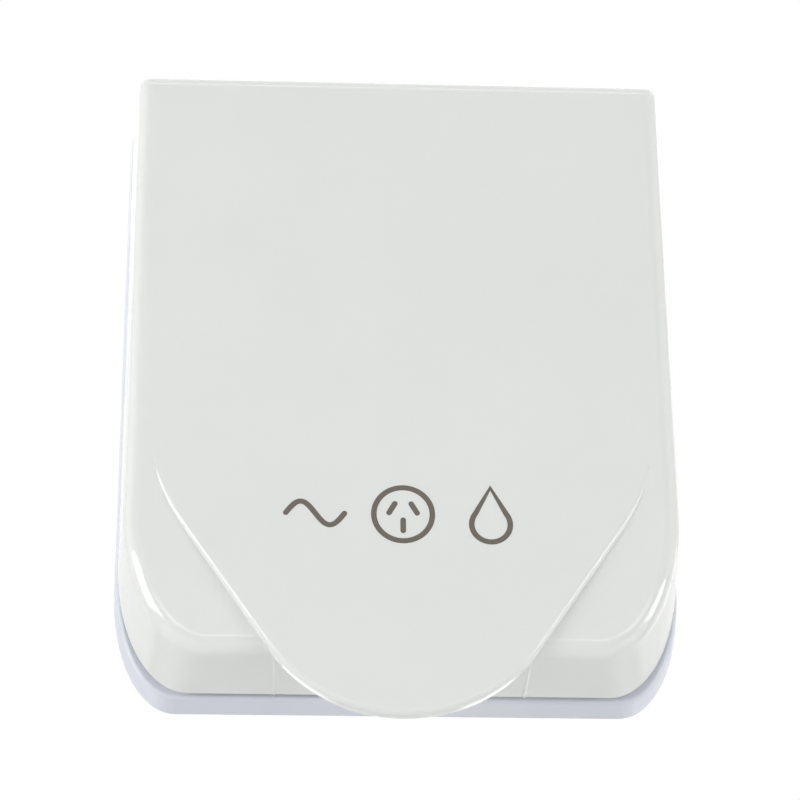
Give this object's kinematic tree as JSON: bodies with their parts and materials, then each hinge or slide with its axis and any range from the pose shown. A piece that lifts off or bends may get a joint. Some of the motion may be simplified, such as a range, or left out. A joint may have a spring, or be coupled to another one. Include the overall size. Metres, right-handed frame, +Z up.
{
  "type": "caravan power outlet",
  "caption": "Splash-proof wall outlet: flat-pin socket in a round well under a sprung flap lid with a tongue-shaped finger pull, rear wiring box and cable gland.",
  "frame": {"origin": "middle of the flange's back, in the plane of the wall, at the centre of the four wall screws", "axes": "+X to the right seen from the front, +Y into the wall, +Z up"},
  "size_m": [0.0994, 0.0816, 0.1267],
  "materials": {
    "lid_plastic": "gloss moulded, warm white",
    "base_plastic": "gloss moulded, bluish white",
    "insert_plastic": "satin moulded, white",
    "carrier_plastic": "matt moulded, dark grey",
    "housing_plastic": "fine-grained moulded, pale grey",
    "gland_plastic": "satin moulded, grey",
    "seal_rubber": "matt, dark grey",
    "gasket_foam": "closed-cell foam, dark grey",
    "contact_brass": "stamped, bright",
    "steel": "zinc plated"
  },
  "bodies": {
    "base": {"base_frame": "base_plastic", "hinge_pins": "steel", "lid_spring_right": "steel", "lid_spring_left": "steel", "wall_gasket": "gasket_foam", "socket_face": "insert_plastic", "contact_carrier": "carrier_plastic", "terminal_screws": "steel", "carrier_screws": "steel", "rear_housing": "housing_plastic", "housing_seal": "seal_rubber", "housing_screws": "steel", "gland_body": "gland_plastic", "gland_seal": "seal_rubber", "gland_nut": "gland_plastic", "gland_lock_nut": "gland_plastic", "active_contact": "contact_brass", "neutral_contact": "contact_brass", "earth_contact": "contact_brass", "active_terminal": "contact_brass", "neutral_terminal": "contact_brass", "earth_terminal": "contact_brass"},
    "lid": {"lid": "lid_plastic", "lid_seal": "seal_rubber"}
  },
  "joints": [
    {"name": "lid_hinge", "type": "hinge", "parent": "base", "child": "lid", "pos_m": [0, -0.014, 0.051], "axis": [-1, 0, 0], "range_deg": [0, 100], "stiffness_Nm_per_rad": 0.03, "springref_deg": -57.3, "deforming": ["lid_spring_right", "lid_spring_left"]}
  ]
}
